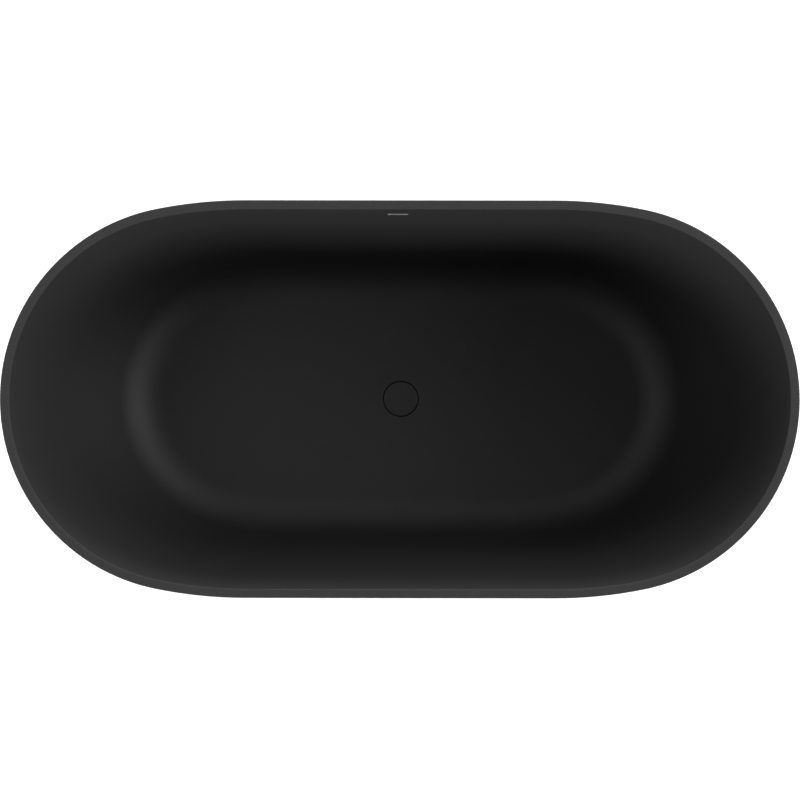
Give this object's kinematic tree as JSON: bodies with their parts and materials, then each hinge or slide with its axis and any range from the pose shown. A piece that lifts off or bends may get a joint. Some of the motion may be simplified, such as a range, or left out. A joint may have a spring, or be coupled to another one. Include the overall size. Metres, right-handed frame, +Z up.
{
  "type": "freestanding bathtub",
  "caption": "Oval double-walled freestanding bathtub in satin black acrylic, with a central push-open waste and adjustable feet.",
  "frame": {"origin": "on the floor under the middle of the tub", "axes": "+X along the tub's length, away from the waste pipe's end; +Y across its width; +Z up"},
  "size_m": [1.6, 0.796, 0.58],
  "materials": {
    "black_acrylic": "satin",
    "black_metal": "satin",
    "glass_fibre": "rough",
    "board": "sanded",
    "zinc_steel": "zinc plated",
    "black_plastic": "moulded",
    "brass": "turned",
    "spring_steel": "drawn",
    "rubber": "matt",
    "white_plastic": "moulded"
  },
  "bodies": {
    "tub": {"basin_shell": "black_acrylic", "board_screw_1": "zinc_steel", "board_screw_2": "zinc_steel", "board_screw_3": "zinc_steel", "board_screw_4": "zinc_steel", "board_screw_5": "zinc_steel", "board_screw_6": "zinc_steel", "board_screw_7": "zinc_steel", "board_screw_8": "zinc_steel", "cartridge": "brass", "cartridge_spring": "spring_steel", "floor_board": "board", "foot_lock_nut_1": "zinc_steel", "foot_lock_nut_2": "zinc_steel", "foot_lock_nut_3": "zinc_steel", "foot_lock_nut_4": "zinc_steel", "foot_lock_nut_5": "zinc_steel", "foot_weld_nut_1": "zinc_steel", "foot_weld_nut_2": "zinc_steel", "foot_weld_nut_3": "zinc_steel", "foot_weld_nut_4": "zinc_steel", "foot_weld_nut_5": "zinc_steel", "frame_cross_1": "zinc_steel", "frame_cross_2": "zinc_steel", "frame_cross_3": "zinc_steel", "frame_cross_4": "zinc_steel", "frame_rail_back": "zinc_steel", "frame_rail_front": "zinc_steel", "outer_skirt": "black_acrylic", "outlet_nut": "white_plastic", "outlet_pipe": "white_plastic", "outlet_ring": "rubber", "rail_end_cap_back_left": "black_plastic", "rail_end_cap_back_right": "black_plastic", "rail_end_cap_front_left": "black_plastic", "rail_end_cap_front_right": "black_plastic", "rim_bonding_strip": "glass_fibre", "skirt_base_ring": "board", "trap_body": "white_plastic", "trap_inlet_washer": "rubber", "trap_union_nut": "white_plastic", "waste_backnut": "brass", "waste_body": "black_metal", "waste_bottom_gasket": "rubber", "waste_top_gasket": "rubber"},
    "plug": {"plug_cap": "black_metal", "plug_stem": "brass", "plug_seal": "rubber"},
    "foot_1": {"foot_stud_1": "zinc_steel", "foot_pad_1": "black_plastic"},
    "foot_2": {"foot_stud_2": "zinc_steel", "foot_pad_2": "black_plastic"},
    "foot_3": {"foot_stud_3": "zinc_steel", "foot_pad_3": "black_plastic"},
    "foot_4": {"foot_stud_4": "zinc_steel", "foot_pad_4": "black_plastic"},
    "foot_5": {"foot_stud_5": "zinc_steel", "foot_pad_5": "black_plastic"}
  },
  "joints": [
    {"name": "plug_lift", "type": "slide", "parent": "tub", "child": "plug", "axis": [0, 0, 1], "range_m": [0, 0.009], "deforming": ["cartridge_spring"]},
    {"name": "foot_1_level", "type": "slide", "parent": "tub", "child": "foot_1", "axis": [0, 0, -1], "range_m": [-0.006, 0.014]},
    {"name": "foot_2_level", "type": "slide", "parent": "tub", "child": "foot_2", "axis": [0, 0, -1], "range_m": [-0.006, 0.014]},
    {"name": "foot_3_level", "type": "slide", "parent": "tub", "child": "foot_3", "axis": [0, 0, -1], "range_m": [-0.006, 0.014]},
    {"name": "foot_4_level", "type": "slide", "parent": "tub", "child": "foot_4", "axis": [0, 0, -1], "range_m": [-0.006, 0.014]},
    {"name": "foot_5_level", "type": "slide", "parent": "tub", "child": "foot_5", "axis": [0, 0, -1], "range_m": [-0.006, 0.014]}
  ]
}
